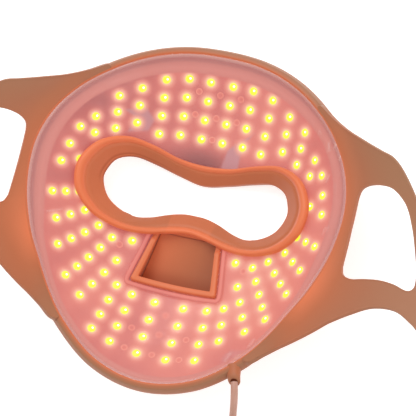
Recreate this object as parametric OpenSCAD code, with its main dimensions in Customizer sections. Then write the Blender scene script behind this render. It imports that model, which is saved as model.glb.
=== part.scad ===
// Flexible LED face mask, lying on its front with the face side up.
// The body is a tan silicone tray that holds a light circuit under a clear pad.
// A point on the mask is given as [u, v]: millimetres measured along the curved
// sheet, u across the face and v up it, from the bridge of the nose.

/* [Form] */
// Radius of the bend across the face
r_across = 121.5; // [105:0.5:150]
// Radius of the bend from chin to forehead
r_down = 222; // [190:1:300]
// Distance from the centre line at which the sides begin to flare
flare_start = 85; // [75:1:95]
// Radius of the outward flare of the sides and wings
r_flare = 250; // [200:5:600]

/* [Layers] */
// Thickness of the tray's floor
floor_t = 2.4; // [2:0.1:2.6]
// Height of the tray's top edge above the light circuit
rim_h = 4.2; // [4:0.1:5]
// Width of the tray's top edge
rim_w = 4; // [3.5:0.5:5]
// Thickness of the clear pad
pad_t = 2; // [1.6:0.1:2.2]
// Thickness of the wings
wing_t = 1.8; // [1.4:0.1:2.4]
// Height of the eye ring's crest above the light circuit
ring_h = 7.6; // [6.5:0.1:9]

/* [Nose] */
// Depth of the nose pocket's lower end below the light circuit
nose_depth = 16; // [14:0.5:17]
// Width of the breathing gap below the nose flap
breath_gap = 5.5; // [5:0.5:6.5]

/* [Lights] */
// Width of one light's package
led_w = 3.5; // [2.8:0.1:3.6]
// Length of one light's package
led_l = 2.8; // [2.4:0.1:3.2]
// Height of one light's package
led_h = 1.1; // [0.8:0.1:1.2]

/* [Lead] */
// Diameter of the lead
lead_d = 4.4; // [4.1:0.1:4.6]
// Diameter of the boss that the lead comes out of
boss_d = 8; // [7:0.5:9]
// Outside diameter of the plug's metal sleeve
sleeve_d = 5.5; // [5.3:0.1:5.7]
// Length of the plug's metal sleeve
sleeve_l = 9.5; // [9:0.5:10]

/* [Hidden] */
eps = 0.01;

// The mask rests on the nose pocket and the brow of the tray
rest_tilt = -2.75;
rest_lift = 4.21;
rest_back = 10.4;

silicone = "#c27e5c";
silicone_dark = "#b0714f";
pad_pink = [0.95, 0.66, 0.62, 0.75];

// Heights of the layers, from the front face of the tray to the pad
floor_lo = -4;
floor_hi = floor_lo + floor_t;
reflector_h = [floor_hi + 0.3, floor_hi + 0.55];
circuit_h = [floor_hi + 0.8, floor_hi + 1.05];
led_base = circuit_h[1] + 0.35;
pad_lo = led_base + led_h + 0.3;
pad_hi = pad_lo + pad_t;
lip_h = pad_hi + 0.5;
wing_hi = rim_h - 1.8;
wing_lo = wing_hi - wing_t;

// ---------------------------------------------------------------------------
// The curved sheet: an arc across the face that flares out at the sides, turned
// about a level axis above the face, so that it also curves from chin to brow.

function deg(a) = a * 180 / PI;
function tilt_at(u) = deg(min(abs(u), flare_start) / r_across)
    - deg(max(abs(u) - flare_start, 0) / r_flare);
function side_of(u) = u < 0 ? -1 : 1;
tilt_0 = tilt_at(flare_start);
function arc_tilt(u) = deg(min(abs(u), flare_start) / r_across);
function out_at(u) = r_across * sin(arc_tilt(u))
    + (abs(u) > flare_start ? r_flare * (sin(tilt_0) - sin(tilt_at(u))) : 0);
function rise_at(u) = r_across * (1 - cos(arc_tilt(u)))
    + (abs(u) > flare_start ? r_flare * (cos(tilt_at(u)) - cos(tilt_0)) : 0);

// The point at [u, v], h above the sheet towards the face
function on_sheet(p, h = 0) =
    let (t = tilt_at(p[0]), a = deg(p[1] / r_down),
         x = out_at(p[0]) - h * sin(t), z = rise_at(p[0]) + h * cos(t))
    [side_of(p[0]) * x, (r_down - z) * sin(a), r_down - (r_down - z) * cos(a)];

// Puts its children on the sheet at [u, v], with +Z towards the face
module at_sheet(p, h = 0) {
    translate([0, 0, r_down])
        rotate([deg(p[1] / r_down), 0, 0])
            translate([side_of(p[0]) * out_at(p[0]), 0, rise_at(p[0]) - r_down])
                rotate([0, -side_of(p[0]) * tilt_at(p[0]), 0])
                    translate([0, 0, h])
                        children();
}

// Lays the mask down as it rests
module resting() {
    translate([0, rest_back, rest_lift])
        rotate([rest_tilt, 0, 0])
            children();
}

// ---------------------------------------------------------------------------
// Outlines as smooth curves through a few points

function mix(a, b, f) = a + (b - a) * f;
function flip(p) = [-p[0], p[1]];
function unit(p) = p / norm(p);

// A closed outline from its right half, top centre to bottom centre
function whole(half) = concat(half, [for (i = [len(half) - 2 : -1 : 1]) flip(half[i])]);

// The smooth curve through the points at place t, counted in points
function curve_at(pts, t, closed = true) =
    let (n = len(pts), i = min(floor(t), closed ? n - 1 : n - 2), s = t - i,
         at = function (k) closed ? pts[(k + n) % n] : pts[max(0, min(n - 1, k))],
         a = at(i - 1), b = at(i), c = at(i + 1), d = at(i + 2))
    b + ((c - a) * s + (2 * a - 5 * b + 4 * c - d) * s * s
        + (3 * b - a - 3 * c + d) * s * s * s) / 2;

// The same point moved outwards by w across the curve, which runs clockwise
function beside(pts, t, w, closed = true) =
    let (n = len(pts), e = 0.02, top = closed ? n : n - 1,
         t0 = closed ? (t - e + n) % n : max(t - e, 0),
         t1 = closed ? (t + e) % n : min(t + e, top),
         d = unit(curve_at(pts, t1, closed) - curve_at(pts, t0, closed)))
    curve_at(pts, t, closed) + w * [-d[1], d[0]];

// Right halves of the outlines, each with a point for each point of the others
pad_edge = whole([
    [0, 98.5], [26, 97], [50, 91], [72, 80.5], [92, 65.5], [107, 43], [114, 14],
    [111.5, -20], [102, -49], [90, -69], [76, -87], [59, -103], [32, -119], [0, -125]
]);
pad_window = whole([
    [0, 22], [20, 25], [38, 30], [54, 31], [66, 25.5], [73, 16], [75, 5],
    [70, -8], [58, -17.5], [42, -21.5], [27, -25.2], [29.2, -42], [31.8, -59.6], [0, -60]
]);
cover_window = whole([
    [0, 15], [16, 18], [32, 22], [46, 24], [57, 20], [62, 12], [63, 4],
    [58, -6], [49, -12], [38, -14.5], [25.3, -23.3], [27.6, -41], [30.4, -58.2], [0, -58.4]
]);
eye_inner = whole([
    [0, 15], [16, 18], [32, 22], [46, 24], [57, 20], [62, 12], [63, 4],
    [58, -6], [49, -12], [38, -14.5], [28, -12.5], [17, -8], [8, -5.5], [0, -5]
]);
eye_outer = whole([
    [0, 27.5], [18, 29], [36, 34], [54, 36.5], [70, 31.5], [80, 21.5], [85, 8],
    [82, -8], [70, -20], [56, -25], [42, -26.5], [28, -25], [13, -21], [0, -19]
]);

// Right wing: the window in it and its outside edge, from the upper neck to the lower
wing_bend_u = 121.5;
bend_gap = 3;
wing_u = wing_bend_u + bend_gap / 2;
root_u = wing_bend_u - bend_gap / 2;
wing_slot = [
    [wing_u, 30], [128, 35], [137, 37], [146, 35], [156, 24], [163, 6], [168, -13],
    [172, -32], [173, -46], [169, -50], [160, -45], [150, -42], [140, -41.5], [130, -42],
    [125, -40], [wing_u, -35]
];
wing_edge = [
    [wing_u, 67], [131, 64.5], [141, 61], [151, 50], [163, 29], [172, 7], [179, -15],
    [185, -40], [189, -64], [190, -84], [184, -91], [177, -82], [165, -70], [150, -67.5],
    [136, -73], [wing_u, -79.5]
];
// Where the wing's fixed root leaves the tray, in places along the tray's outline
root_from = 3;
root_to = 10.9;
root_edge = [
    [75.5, 84.5], [86, 79.3], [104, 72.3], [root_u, 67.8], [root_u, 50], [root_u, 33],
    [root_u, 18], [root_u, 2], [root_u, -14], [root_u, -30], [root_u, -46],
    [root_u, -64], [root_u, -81], [104, -91], [87, -97], [69, -104.5]
];

// Nose pocket
nose_outer = [[21.8, -16.5], [29.3, -57.2], [-29.3, -57.2], [-21.8, -16.5]];
nose_inner = [[18.9, -19.8], [24.5, -53.6], [-24.5, -53.6], [-18.9, -19.8]];
// The walls are lower at the bridge, where they pass under the eye ring
function nose_top(p) = min(rim_h + 0.6, 3.3 + 1.2 * max(0, -25.6 - p[1]));
// Height of the pocket's front edge, level from side to side and deeper lower down
function nose_floor(p) = -3.5 - (nose_depth - 5) * (-23 - p[1]) / 34.5 - rise_at(p[0]);

// ---------------------------------------------------------------------------
// Solids from rows of points: each row is one section, given in the same order

module skin(rows, closed) {
    n = len(rows);
    m = len(rows[0]);
    last = closed ? n : n - 1;
    sides = [
        for (i = [0 : last - 1], j = [0 : m - 1])
            let (a = i * m + j, b = i * m + (j + 1) % m,
                 c = ((i + 1) % n) * m + (j + 1) % m, d = ((i + 1) % n) * m + j)
            each [[a, c, b], [a, d, c]]
    ];
    ends = closed ? [] : concat(
        [for (j = [1 : m - 2]) [0, j, j + 1]],
        [for (j = [1 : m - 2]) let (k = (n - 1) * m) [k, k + j + 1, k + j]]);
    polyhedron([for (r = rows) each r], concat(sides, ends), convexity = 8);
}

// A sheet between two curves, from height lo to hi, with the given rows across it
function sheet_row(p, q, lo, hi, across) = concat(
    [for (k = [0 : across]) on_sheet(mix(p, q, k / across), lo)],
    [for (k = [across : -1 : 0]) on_sheet(mix(p, q, k / across), hi)]);

// ---------------------------------------------------------------------------
// Tray and its fittings

steps = 3;
// Flat faces across the tray's floor, the pad and the layers between them
bands = 5;

// Tan silicone tray: floor, side wall and rounded top edge
module outer_cover() {
    rows = [
        for (i = [0 : len(pad_edge) * steps - 1])
            let (t = i / steps, p = curve_at(cover_window, t), w = curve_at(pad_window, t),
                 q = curve_at(pad_edge, t), out = function (d) beside(pad_edge, t, d))
            concat(
                [on_sheet(p, floor_lo)],
                [for (k = [0 : bands - 1]) on_sheet(mix(w, q, k / bands), floor_lo)],
                [on_sheet(out(rim_w - 2.4), floor_lo), on_sheet(out(rim_w - 1), floor_lo + 0.8),
                 on_sheet(out(rim_w), floor_lo + 3), on_sheet(out(rim_w), rim_h - 1.8),
                 on_sheet(out(1.6), rim_h), on_sheet(out(0.2), rim_h - 0.4)],
                [on_sheet(out(0.2), floor_hi)],
                [for (k = [bands - 1 : -1 : 0]) on_sheet(mix(w, q, k / bands), floor_hi)],
                [on_sheet(p, floor_hi)])
    ];
    color(silicone) resting() skin(rows, true);
}

// Fixed root of a wing, along the side of the tray, where it rises to the rim
module wing_root(side) {
    count = 36;
    across = 4;
    rise = rim_h - 0.2 - wing_hi;
    rows = [
        for (i = [0 : count])
            let (f = i / count, t = mix(root_from, root_to, f),
                 p = beside(pad_edge, t, rim_w + 0.15), top = beside(pad_edge, t, 2.3),
                 e = curve_at(root_edge, f * (len(root_edge) - 1), false),
                 q = [min(e[0], root_u), e[1]])
            concat(
                [for (k = [0 : across]) on_sheet(mix(p, q, k / across), wing_lo)],
                [for (k = [across : -1 : 1])
                    let (c = mix(top, q, k / across), d = norm(c - top) / 9)
                    on_sheet(c, wing_hi + rise * exp(-d * d))],
                [on_sheet(top, wing_hi + rise), on_sheet(p, rim_h - 1.7)])
    ];
    color(silicone) resting() mirror([side < 0 ? 1 : 0, 0, 0]) skin(rows, false);
}

// Free part of a wing, a flat loop round the strap window
module wing(side) {
    count = (len(wing_slot) - 1) * steps;
    rows = [
        for (i = [0 : count])
            let (t = i / steps)
            sheet_row(curve_at(wing_slot, t, false), curve_at(wing_edge, t, false),
                wing_lo, wing_hi, 2)
    ];
    color(silicone_dark) resting() mirror([side < 0 ? 1 : 0, 0, 0]) skin(rows, false);
}

// Raised ring round the eye opening: inner slope, shallow valley, rounded crest
module eye_ring() {
    // The foot is glued to the tray's floor
    foot_h = floor_hi + 0.15;
    // [place from the opening to the outer foot, height]
    section = [
        [0, foot_h], [0, 0.8], [0.3, 3.4], [0.55, ring_h - 2], [0.65, ring_h - 2.2],
        [0.76, ring_h - 0.6], [0.87, ring_h], [0.96, ring_h - 0.8], [1, ring_h - 2.4],
        [1, pad_hi + 0.4], [0.42, pad_hi + 0.4], [0.36, foot_h]
    ];
    rows = [
        for (i = [0 : len(eye_inner) * steps - 1])
            let (p = curve_at(eye_inner, i / steps), q = curve_at(eye_outer, i / steps))
            [for (s = section) on_sheet(mix(p, q, s[0]), s[1])]
    ];
    color(silicone) resting() skin([for (r = rows) [for (j = [len(r) - 1 : -1 : 0]) r[j]]],
        true);
}

// A closed run of points along the straight sides of an outline
function along(poly, n) = [
    for (i = [0 : len(poly) - 1], k = [0 : n - 1])
        mix(poly[i], poly[(i + 1) % len(poly)], k / n)
];

// Walls of the nose pocket, deeper towards the nostrils
module nose_frame() {
    per_side = 6;
    o = along(nose_outer, per_side);
    n = along(nose_inner, per_side);
    rows = [
        for (i = [0 : len(o) - 1])
            let (c = mix(o[i], n[i], 0.25), e = mix(o[i], n[i], 0.8))
            [on_sheet(o[i], nose_floor(o[i]) - 0.5), on_sheet(o[i], nose_top(o[i]) - 0.6),
             on_sheet(c, nose_top(o[i])), on_sheet(e, nose_top(n[i])),
             on_sheet(n[i], nose_top(n[i]) - 0.6), on_sheet(n[i], nose_floor(n[i]) - 0.5)]
    ];
    color(silicone) resting() skin(rows, true);
}

// Floor of the nose pocket: a flap that gives where the nose presses it
module nose_flap() {
    v_top = nose_inner[0][1] - 0.6;
    v_end = nose_inner[1][1] + breath_gap;
    flap_t = 1.8;
    count = 6;
    rows = [
        for (i = [0 : count])
            let (v = mix(v_top, v_end, i / count),
                 f = (v - nose_inner[0][1]) / (nose_inner[1][1] - nose_inner[0][1]),
                 w = mix(nose_inner[0][0], nose_inner[1][0], f) - 0.6,
                 across = [for (k = [0 : 4]) [mix(-w, w, k / 4), v]])
            [for (k = [0 : 4]) on_sheet(across[k], nose_floor(across[k]) + 2),
             for (k = [4 : -1 : 0]) on_sheet(across[k], nose_floor(across[k]) + 2 + flap_t)]
    ];
    color(silicone_dark) resting() skin(rows, false);
}

// ---------------------------------------------------------------------------
// Pad and light circuit

// Clear pad over the lights, with a raised lip that seats in the tray's edge
module face_pad() {
    rows = [
        for (i = [0 : len(pad_edge) * steps - 1])
            let (t = i / steps, w = curve_at(pad_window, t), q = curve_at(pad_edge, t),
                 out = function (d) beside(pad_edge, t, d))
            concat(
                [for (k = [0 : bands]) on_sheet(mix(w, q, k / bands), pad_lo)],
                [on_sheet(q, pad_hi), on_sheet(out(-0.8), lip_h), on_sheet(out(-1.8), lip_h),
                 on_sheet(out(-3), pad_hi)],
                [for (k = [bands - 1 : -1 : 0]) on_sheet(mix(w, q, k / bands), pad_hi)])
    ];
    color(pad_pink) resting() skin(rows, true);
}

// A flat layer under the pad
module layer(h) {
    rows = [
        for (i = [0 : len(pad_edge) * steps - 1])
            let (t = i / steps, w = curve_at(pad_window, t), q = beside(pad_edge, t, -1),
                 a = w + 1.5 * unit(q - w))
            concat([for (k = [0 : bands]) on_sheet(k == 0 ? a : mix(w, q, k / bands), h[0])],
                [for (k = [bands : -1 : 0]) on_sheet(k == 0 ? a : mix(w, q, k / bands), h[1])])
    ];
    resting() skin(rows, true);
}

module reflector_sheet() { color("white") layer(reflector_h); }
module flex_circuit() { color("#d9b38c") layer(circuit_h); }

// Strips of lights on the right half: [count, first point, last point]
brow_strips = [
    [4, [7.5, 81], [7, 44]], [4, [21.5, 81], [21, 44]], [4, [36, 78], [34.5, 42]],
    [3, [50.5, 70], [50, 46.5]], [3, [64.5, 62.5], [63, 40]]
];
temple_strips = [
    [2, [77.5, 45.5], [76, 34]], [1, [86.5, 36], [86.5, 36]], [1, [91, 22], [91, 22]],
    [2, [94, 8], [82, 13]]
];
cheek_strips = [
    [3, [94.5, -16], [77, -9.5]], [3, [87, -34], [70, -21]], [4, [80.5, -51.5], [58.5, -28]],
    [5, [69, -70], [48, -33]], [4, [56, -79], [41, -47]], [1, [35, -31], [35, -31]]
];
chin_strips = [
    [4, [41.5, -98], [36, -63]], [4, [28, -102], [25, -66]], [4, [9.5, -104.5], [9.5, -67]]
];
function strip_points(s) = [
    for (i = [0 : s[0] - 1]) s[0] == 1 ? s[1] : mix(s[1], s[2], i / (s[0] - 1))
];
function group(strips) = [for (s = strips) each strip_points(s)];

// One light: a package with a round window
module led(p) {
    at_sheet(p, led_base) {
        translate([-led_w / 2, -led_l / 2, 0])
            cube([led_w, led_l, led_h - 0.2]);
        translate([0, 0, led_h - 0.2 - eps])
            cylinder(d = 2.4, h = 0.2 + eps, $fn = 14);
    }
}

module leds(points) {
    color("#ffe14d") resting() for (p = points) led(p);
}

module forehead_leds() { leds([for (p = group(brow_strips)) each [p, flip(p)]]); }
module right_temple_leds() { leds(group(temple_strips)); }
module left_temple_leds() { leds([for (p = group(temple_strips)) flip(p)]); }
module right_cheek_leds() { leds(group(cheek_strips)); }
module left_cheek_leds() { leds([for (p = group(cheek_strips)) flip(p)]); }

// The lead's terminal takes the place of one light at the chin
module chin_leds() {
    points = group(chin_strips);
    leds([for (i = [0 : len(points) - 1])
        each (i == 0 ? [flip(points[i])] : [points[i], flip(points[i])])]);
}

// One resistor at the inner end of each strip
module strip_resistors() {
    ends = [
        for (s = concat(brow_strips, cheek_strips, chin_strips))
            if (s[0] > 2) s[2] + 5 * unit(s[2] - s[1])
    ];
    color("#3a3a3c") resting()
        for (p = ends, side = [0, 1])
            at_sheet(side == 0 ? p : flip(p), led_base)
                translate([-1, -0.6, 0]) cube([2, 1.2, 0.5]);
}

// Pegs on the back of the pad that keep it off the lights
module pad_pegs() {
    centre = [[0, 74], [0, 59], [0, 45], [0, -74], [0, -88], [0, -103]];
    pairs = [[14, 74], [14, 59], [42, -36], [18, -88], [18, -103]];
    points = concat(centre, pairs, [for (p = pairs) flip(p)]);
    color(pad_pink) resting()
        for (p = points)
            at_sheet(p, led_base) cylinder(d = 2.2, h = pad_lo - led_base - 0.05, $fn = 24);
}

// ---------------------------------------------------------------------------
// Lead

// Terminal block that the lead's wires are soldered to
terminal_at = [44, -99];
module lead_terminal() {
    color("#f4f0e6") resting()
        at_sheet(terminal_at, led_base)
            rotate([0, 0, -38]) translate([-4.5, -2.5, 0]) cube([9, 5, 1.2]);
}

boss_at = [57, -109.2];
boss_turn = 12;
boss_l = 6.5;
// The boss leans back from the sheet, towards the table
boss_lean = 20;

// Two wires from the terminal to the tray's wall
module wire_tails() {
    color("#8c3b2e") resting()
        at_sheet([52, -103.5], led_base + 0.55)
            for (y = [-1, 1])
                rotate([0, 0, -24]) translate([-4.2, y, 0]) rotate([0, 90, 0])
                    cylinder(d = 0.9, h = 8, $fn = 16);
}

// Short boss on the tray's wall that the lead comes out of
module lead_boss() {
    color(silicone) resting()
        at_sheet(boss_at, 0)
            rotate([90 + boss_lean, 0, boss_turn]) {
                cylinder(d = boss_d, h = boss_l - 1, $fn = 40);
                translate([0, 0, boss_l - 1 - eps])
                    cylinder(d1 = boss_d, d2 = boss_d - 1.6, h = 1 + eps, $fn = 40);
            }
}

// The lead runs out of the boss, down to the table and into a tied coil; its last
// stretch runs from the coil to the plug.
route_out = [
    [57.1, -92.2, 48.6], [58.3, -96.5, 49.4], [59.2, -100.9, 49.2], [59.8, -105.2, 48.1],
    [60, -109.1, 46.1], [60, -112.5, 43.2], [59.8, -115.1, 39.8], [59.5, -117.4, 36],
    [59.1, -120.4, 30.8], [58.7, -123.3, 25.6], [58.3, -126.3, 20.4], [58, -128.7, 16],
    [57.7, -132.3, 11.2], [57.5, -136.9, 7.4], [57.3, -142.3, 4.7], [57.2, -148.2, 3.5],
    [57.2, -154.2, 3.1], [57.2, -160, 3]
];
route_in = [
    [88, -190.8, 7.4], [94, -190.6, 7.3], [100, -190, 6.8], [106, -189.3, 6],
    [112, -188.7, 5.3], [118, -188.3, 5], [124, -188, 5]
];
coil_at = [88, -160];
coil_r = 26.4;
coil_bore = coil_r - lead_d * 1.5;
coil_rim = coil_r + lead_d * 1.5;
coil_z = 0.8;
coil_h = lead_d * 2;

// A round tube along a route; level is a direction that the route never takes
module tube(route, d, level) {
    sides = 10;
    n = len(route);
    rows = [
        for (i = [0 : n - 1])
            let (t = unit(route[min(i + 1, n - 1)] - route[max(i - 1, 0)]),
                 s = unit(cross(level, t)), c = cross(t, s))
            [for (k = [0 : sides - 1]) let (w = 360 * k / sides)
                route[i] + d / 2 * (cos(w) * s + sin(w) * c)]
    ];
    skin(rows, false);
}

module lead() {
    color("#be8c7a") {
        tube(route_out, lead_d, [1, 0, 0]);
        tube(route_in, lead_d, [0, 1, 0]);
    }
}

// Outer shape of the coiled lead, three turns wide and two deep
module lead_coil() {
    color("#be8c7a")
        translate([coil_at[0], coil_at[1], coil_z])
            rotate_extrude($fn = 72)
                polygon([
                    [coil_bore, 1.2], [coil_bore + 1.2, 0], [coil_rim - 1.2, 0],
                    [coil_rim, 1.2], [coil_rim, coil_h - 1.2], [coil_rim - 1.2, coil_h],
                    [coil_bore + 1.2, coil_h], [coil_bore, coil_h - 1.2]
                ]);
}

// Hook-and-loop band round the coil
tie_t = 0.7;
tie_angle = 24;
module cord_tie() {
    gap = 0.05;
    color("#4a4442")
        translate([coil_at[0], coil_at[1], 0])
            rotate([0, 0, 38])
                rotate_extrude(angle = tie_angle, $fn = 72)
                    difference() {
                        translate([coil_bore - gap - tie_t, 0])
                            square([coil_rim - coil_bore + 2 * (gap + tie_t),
                                coil_z + coil_h + gap + tie_t]);
                        translate([coil_bore - gap, coil_z - gap])
                            square([coil_rim - coil_bore + 2 * gap, coil_h + 2 * gap]);
                    }
}

// Plug, lying along +X beside the coil
plug_at = [124, -188, 5];
housing_l = 34;

module at_plug() {
    translate(plug_at) rotate([0, 90, 0]) children();
}

// Moulded housing with its tapered strain relief
module plug_housing() {
    color("#c9a08f") at_plug()
        rotate_extrude($fn = 64)
            polygon([
                [0, 0], [lead_d / 2 + 0.7, 0], [lead_d / 2 + 1.6, 12], [4.4, 14], [5, 16],
                [5, housing_l - 3], [4.4, housing_l], [0, housing_l]
            ]);
}

module plug_sleeve() {
    color("silver") at_plug()
        translate([0, 0, housing_l])
            difference() {
                cylinder(d = sleeve_d, h = sleeve_l, $fn = 64);
                translate([0, 0, -1]) cylinder(d = 4.4, h = sleeve_l + 2, $fn = 64);
            }
}

// Insulated inner contact with its round socket
module plug_contact() {
    color("#2a2a2c") at_plug()
        translate([0, 0, housing_l])
            difference() {
                cylinder(d = 4.4, h = sleeve_l - 0.4, $fn = 64);
                translate([0, 0, 1]) cylinder(d = 2.1, h = sleeve_l, $fn = 48);
            }
}

outer_cover();
wing_root(-1);  // left_wing_root
wing_root(1);  // right_wing_root
wing(-1);  // left_wing
wing(1);  // right_wing
eye_ring();
nose_frame();
nose_flap();
face_pad();
pad_pegs();
reflector_sheet();
flex_circuit();
forehead_leds();
left_temple_leds();
right_temple_leds();
left_cheek_leds();
right_cheek_leds();
chin_leds();
strip_resistors();
lead_terminal();
wire_tails();
lead_boss();
lead();
lead_coil();
cord_tie();
plug_housing();
plug_sleeve();
plug_contact();
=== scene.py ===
import math

import bpy
import numpy as np
from mathutils import Matrix, Vector


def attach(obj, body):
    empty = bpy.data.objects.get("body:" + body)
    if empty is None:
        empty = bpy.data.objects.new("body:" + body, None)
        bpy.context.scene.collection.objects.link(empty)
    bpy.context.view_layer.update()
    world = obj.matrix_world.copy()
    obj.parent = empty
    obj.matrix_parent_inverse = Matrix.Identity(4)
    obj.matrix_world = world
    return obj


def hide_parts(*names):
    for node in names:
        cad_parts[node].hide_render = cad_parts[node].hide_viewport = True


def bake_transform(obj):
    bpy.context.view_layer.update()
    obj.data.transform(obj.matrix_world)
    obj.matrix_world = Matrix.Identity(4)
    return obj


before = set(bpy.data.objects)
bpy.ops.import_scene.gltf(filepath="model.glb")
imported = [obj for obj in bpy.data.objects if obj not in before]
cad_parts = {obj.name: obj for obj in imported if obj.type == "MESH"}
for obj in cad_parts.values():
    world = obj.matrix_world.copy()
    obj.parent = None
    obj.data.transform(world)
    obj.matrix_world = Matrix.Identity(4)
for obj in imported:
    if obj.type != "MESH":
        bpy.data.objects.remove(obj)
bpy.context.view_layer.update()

# ---------------------------------------------------------------------------
# Camera, table and light. The mask lies on a white table under soft studio light, and is
# looked down on from its upper right side.

def rgb(code):
    """Linear colour of an sRGB hex value: a straight line below 4% and a power of 2.4 above it."""
    part = np.array([int(code[i:i + 2], 16) for i in (1, 3, 5)]) / 255
    linear = np.where(part <= 0.04045, part / 12.92, ((part + 0.055) / 1.055) ** 2.4)
    return (*linear.tolist(), 1.0)


def put(tree, kind, inputs=(), stops=(), **settings):
    """Adds a node: settings are its properties, inputs its values or the sockets that feed it, and
    stops a ramp's colours."""
    node = tree.nodes.new(kind)
    for name, value in settings.items():
        setattr(node, name, value)
    for name, value in dict(inputs).items():
        if isinstance(value, bpy.types.NodeSocket):
            tree.links.new(value, node.inputs[name])
        else:
            node.inputs[name].default_value = value
    for k, (place, colour) in enumerate(stops):
        at = node.color_ramp.elements[k] if k < 2 else node.color_ramp.elements.new(place)
        at.position = place
        at.color = colour
    return node


def start_material(name):
    """A material with an empty node tree, and the Object coordinates that its patterns follow."""
    material = bpy.data.materials.new(name)
    material.use_nodes = True
    material.node_tree.nodes.clear()
    return material, material.node_tree, put(material.node_tree, "ShaderNodeTexCoord").outputs["Object"]


def end_material(tree, inputs):
    """The shader that takes the inputs, wired to the output."""
    shader = put(tree, "ShaderNodeBsdfPrincipled", inputs)
    put(tree, "ShaderNodeOutputMaterial", {"Surface": shader.outputs[0]})


# White laminate, a little uneven in its sheen
table_white, tree, spot = start_material("white_laminate")
speck = put(tree, "ShaderNodeTexNoise", {"Vector": spot, "Scale": 40.0, "Detail": 4.0})
shade = put(tree, "ShaderNodeValToRGB", {"Fac": speck.outputs["Fac"]},
            stops=[(0.3, rgb("#f3f3f3")), (0.7, rgb("#f7f7f7"))])
end_material(tree, {"Base Color": shade.outputs[0], "Roughness": 0.6,
                    "Emission Color": rgb("#ffffff"), "Emission Strength": 0.5})
table_half = 4.0
table_mesh = bpy.data.meshes.new("table")
table_mesh.from_pydata([(-table_half, -table_half, 0), (table_half, -table_half, 0),
                        (table_half, table_half, 0), (-table_half, table_half, 0)], [], [(0, 1, 2, 3)])
table_mesh.materials.append(table_white)
table = bpy.data.objects.new("table", table_mesh)
bpy.context.collection.objects.link(table)

world = bpy.data.worlds.new("studio")
bpy.context.scene.world = world
world.use_nodes = True
world.node_tree.nodes["Background"].inputs["Color"].default_value = (1.0, 0.99, 0.98, 1.0)
world.node_tree.nodes["Background"].inputs["Strength"].default_value = 0.72
bpy.context.scene.view_settings.view_transform = "Standard"

# [place, side in metres, watts] of each soft box, all aimed at the mask
soft_boxes = [((-0.5, 0.9, 1.3), 1.0, 13.0), ((1.3, -0.5, 1.1), 0.8, 5.0)]
for k, (place, side, watts) in enumerate(soft_boxes):
    lamp = bpy.data.lights.new(f"soft_box_{k + 1}", "AREA")
    lamp.size = side
    lamp.energy = watts
    box = bpy.data.objects.new(lamp.name, lamp)
    box.location = place
    box.rotation_euler = Vector(place).to_track_quat("Z", "Y").to_euler()
    bpy.context.collection.objects.link(box)

camera = bpy.data.cameras.new("camera")
camera.sensor_width = 36.0
camera.lens = 159.1
camera.clip_start = 0.05
camera_object = bpy.data.objects.new("camera", camera)
bpy.context.collection.objects.link(camera_object)
camera_at = (0.2621, -0.1099, 1.1386)
back = Vector((0.2184, -0.1045, 0.9702)).normalized()
right = Vector((-0.2017, 0.9679, 0.1496)).cross(back).normalized()
turn = Matrix((right, back.cross(right), back)).transposed().to_4x4()
camera_object.matrix_world = Matrix.Translation(camera_at) @ turn
bpy.context.scene.camera = camera_object

# ---------------------------------------------------------------------------
# Lead: a round cable with a soft PVC jacket the colour of skin. It comes out of the boss,
# bends down to the table and is wound into a coil of three turns by two layers.

lead_d = 4.4
route_out = np.array([
    [57.1, -92.2, 48.6], [58.3, -96.5, 49.4], [59.2, -100.9, 49.2], [59.8, -105.2, 48.1],
    [60, -109.1, 46.1], [60, -112.5, 43.2], [59.8, -115.1, 39.8], [59.5, -117.4, 36],
    [59.1, -120.4, 30.8], [58.7, -123.3, 25.6], [58.3, -126.3, 20.4], [58, -128.7, 16],
    [57.7, -132.3, 11.2], [57.5, -136.9, 7.4], [57.3, -142.3, 4.7], [57.2, -148.2, 3.5],
    [57.2, -154.2, 3.1], [57.2, -160, 3]])
route_in = np.array([
    [88, -190.8, 7.4], [94, -190.6, 7.3], [100, -190, 6.8], [106, -189.3, 6],
    [112, -188.7, 5.3], [118, -188.3, 5], [124, -188, 5]])
coil_at = (88.0, -160.0)
coil_r = 26.4
layer_z = (3.0, 7.4)


def ease(x, start, end):
    """0 before start and 1 after end, with a level start and finish: 3x^2 - 2x^3."""
    part = np.clip((np.asarray(x, float) - start) / (end - start), 0, 1)
    return part * part * (3 - 2 * part)


def coil_line(turn_count, steps):
    """Centre line of the coil: the angle grows evenly with the turn, the radius steps in by one diameter
    at the end of each turn of the lower layer, the height steps up after the third turn, and the
    radius steps out again."""
    turn = np.arange(1, round(turn_count * steps)) / steps
    inward = ease(turn, 0.8, 1) + ease(turn, 1.8, 2)
    outward = ease(turn, 3.3, 3.5) + ease(turn, 4.3, 4.5)
    radius = coil_r + lead_d * (1 - inward + outward)
    angle = math.pi + 2 * math.pi * turn
    height = layer_z[0] + (layer_z[1] - layer_z[0]) * ease(turn, 2.8, 3)
    return np.stack([coil_at[0] + radius * np.cos(angle), coil_at[1] + radius * np.sin(angle), height], -1)


def smooth_line(points, steps, closed=False):
    """Catmull-Rom curve through the points: each span is the cubic whose ends have half the slope between
    their neighbours."""
    points = np.asarray(points, float)
    count = len(points)
    place = np.arange(count * steps if closed else (count - 1) * steps + 1) / steps
    k = np.minimum(np.floor(place).astype(int), count - 1 if closed else count - 2)
    s = (place - k)[:, None]
    near = [points[(k + j) % count if closed else np.clip(k + j, 0, count - 1)] for j in (-1, 0, 1, 2)]
    a, b, c, d = near
    return b + ((c - a) * s + (2 * a - 5 * b + 4 * c - d) * s ** 2 + (3 * b - a - 3 * c + d) * s ** 3) / 2


def slopes(line, closed=False):
    """Unit direction of a line at each of its points, from its neighbours on both sides."""
    if closed:
        step = np.roll(line, -1, 0) - np.roll(line, 1, 0)
    else:
        step = np.gradient(line, axis=0)
    return step / np.linalg.norm(step, axis=1, keepdims=True)


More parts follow.
